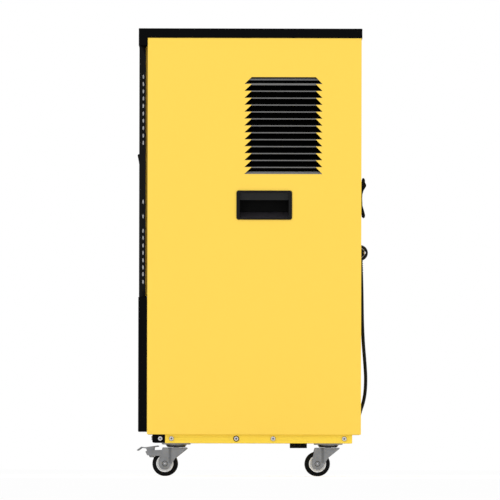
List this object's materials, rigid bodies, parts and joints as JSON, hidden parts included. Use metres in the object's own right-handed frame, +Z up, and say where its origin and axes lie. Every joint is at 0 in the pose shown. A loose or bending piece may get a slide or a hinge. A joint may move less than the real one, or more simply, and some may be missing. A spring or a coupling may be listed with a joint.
{
  "type": "dehumidifier",
  "caption": "Upright commercial dehumidifier: sheet-metal cabinet on swivel casters, side louvres and handle cups, pull-off intake grille, refrigeration unit inside, rear cord bay.",
  "frame": {"origin": "on the floor under the middle of the cabinet's footprint", "axes": "+Z up, the intake grille and controls face -Y, the width runs along X with the machine's own left side at +X"},
  "size_m": [0.4832, 0.4638, 0.8956],
  "materials": {
    "cabinet_yellow": "smooth powder coat, slight texture",
    "black_paint": "black powder coat, satin",
    "grille_black": "black powder coat on perforated sheet, satin",
    "black_plastic": "moulded, fine grain",
    "gloss_black": "smooth window",
    "button_grey": "moulded, satin",
    "filter_mesh": "woven mesh",
    "galvanised": "zinc plated",
    "fins": "fin stock",
    "copper": "drawn copper tube",
    "fan_grey": "moulded",
    "motor_grey": "enamel",
    "compressor_black": "gloss enamel",
    "mount_rubber": "moulded rubber",
    "hose_clear": "soft tube",
    "tray_grey": "moulded",
    "cord_black": "smooth sheath",
    "tyre_black": "moulded rubber",
    "wheel_white": "moulded nylon",
    "screw_zinc": "bright zinc"
  },
  "bodies": {
    "cabinet": {"base_front_bar": "black_paint", "base_pan": "cabinet_yellow", "caster_plates": "galvanised", "compressor": "compressor_black", "compressor_mounts": "mount_rubber", "condenser": "fins", "control_bezel": "black_plastic", "cord_cleat": "black_plastic", "cord_coil": "cord_black", "cord_gland": "black_plastic", "cord_lead": "cord_black", "cord_tail": "cord_black", "cord_tie": "black_plastic", "discharge_pipe": "copper", "display_window": "gloss_black", "drain_hose": "hose_clear", "drain_outlet": "black_plastic", "drip_tray": "tray_grey", "electrical_box": "motor_grey", "evaporator": "fins", "fan_motor": "motor_grey", "fan_shroud": "galvanised", "front_frame": "black_paint", "handle_cup_left": "black_plastic", "handle_cup_right": "black_plastic", "liquid_line": "copper", "louvre_left": "black_plastic", "louvre_right": "black_plastic", "lower_front_panel": "black_paint", "mid_deck": "galvanised", "panel_screws": "screw_zinc", "plug": "cord_black", "plug_clip": "black_plastic", "rear_panel": "cabinet_yellow", "side_panel_left": "cabinet_yellow", "side_panel_right": "cabinet_yellow", "suction_pipe": "copper", "top_lid": "black_paint"},
    "grille": {"intake_grille": "grille_black", "grille_pull": "black_plastic", "air_filter": "filter_mesh"},
    "fan": {"fan_impeller": "fan_grey"},
    "button_power": {"button_power": "button_grey"},
    "button_mode": {"button_mode": "button_grey"},
    "button_up": {"button_up": "button_grey"},
    "button_down": {"button_down": "button_grey"},
    "fork_front_left": {"caster_front_left_fork": "galvanised"},
    "wheel_front_left": {"caster_front_left_wheel": "wheel_white", "caster_front_left_tyre": "tyre_black"},
    "brake_front_left": {"caster_front_left_brake": "galvanised"},
    "fork_front_right": {"caster_front_right_fork": "galvanised"},
    "wheel_front_right": {"caster_front_right_wheel": "wheel_white", "caster_front_right_tyre": "tyre_black"},
    "brake_front_right": {"caster_front_right_brake": "galvanised"},
    "fork_rear_left": {"caster_rear_left_fork": "galvanised"},
    "wheel_rear_left": {"caster_rear_left_wheel": "wheel_white", "caster_rear_left_tyre": "tyre_black"},
    "fork_rear_right": {"caster_rear_right_fork": "galvanised"},
    "wheel_rear_right": {"caster_rear_right_wheel": "wheel_white", "caster_rear_right_tyre": "tyre_black"}
  },
  "joints": [
    {"name": "grille_pull_off", "type": "slide", "parent": "cabinet", "child": "grille", "axis": [0, -1, 0], "range_m": [0, 0.06]},
    {"name": "fan_spin", "type": "hinge", "parent": "cabinet", "child": "fan", "pos_m": [0, 0, 0.701], "axis": [0, 1, 0], "continuous": true},
    {"name": "power_press", "type": "slide", "parent": "cabinet", "child": "button_power", "axis": [0, 1, 0], "range_m": [0, 0.001], "stiffness_N_per_m": 400},
    {"name": "mode_press", "type": "slide", "parent": "cabinet", "child": "button_mode", "axis": [0, 1, 0], "range_m": [0, 0.001], "stiffness_N_per_m": 400},
    {"name": "up_press", "type": "slide", "parent": "cabinet", "child": "button_up", "axis": [0, 1, 0], "range_m": [0, 0.001], "stiffness_N_per_m": 400},
    {"name": "down_press", "type": "slide", "parent": "cabinet", "child": "button_down", "axis": [0, 1, 0], "range_m": [0, 0.001], "stiffness_N_per_m": 400},
    {"name": "swivel_front_left", "type": "hinge", "parent": "cabinet", "child": "fork_front_left", "pos_m": [0.196, -0.1508, 0.056], "axis": [0, 0, 1], "continuous": true},
    {"name": "roll_front_left", "type": "hinge", "parent": "fork_front_left", "child": "wheel_front_left", "pos_m": [0.196, -0.1728, 0.025], "axis": [1, 0, 0], "continuous": true},
    {"name": "brake_press_front_left", "type": "hinge", "parent": "fork_front_left", "child": "brake_front_left", "pos_m": [0.196, -0.2006, 0.0476], "axis": [1, 0, 0], "range_deg": [0, 14]},
    {"name": "swivel_front_right", "type": "hinge", "parent": "cabinet", "child": "fork_front_right", "pos_m": [-0.196, -0.1508, 0.056], "axis": [0, 0, 1], "continuous": true},
    {"name": "roll_front_right", "type": "hinge", "parent": "fork_front_right", "child": "wheel_front_right", "pos_m": [-0.196, -0.1728, 0.025], "axis": [1, 0, 0], "continuous": true},
    {"name": "brake_press_front_right", "type": "hinge", "parent": "fork_front_right", "child": "brake_front_right", "pos_m": [-0.196, -0.2006, 0.0476], "axis": [1, 0, 0], "range_deg": [0, 14]},
    {"name": "swivel_rear_left", "type": "hinge", "parent": "cabinet", "child": "fork_rear_left", "pos_m": [0.196, 0.1548, 0.056], "axis": [0, 0, 1], "continuous": true},
    {"name": "roll_rear_left", "type": "hinge", "parent": "fork_rear_left", "child": "wheel_rear_left", "pos_m": [0.196, 0.1328, 0.025], "axis": [1, 0, 0], "continuous": true},
    {"name": "swivel_rear_right", "type": "hinge", "parent": "cabinet", "child": "fork_rear_right", "pos_m": [-0.196, 0.1548, 0.056], "axis": [0, 0, 1], "continuous": true},
    {"name": "roll_rear_right", "type": "hinge", "parent": "fork_rear_right", "child": "wheel_rear_right", "pos_m": [-0.196, 0.1328, 0.025], "axis": [1, 0, 0], "continuous": true}
  ]
}
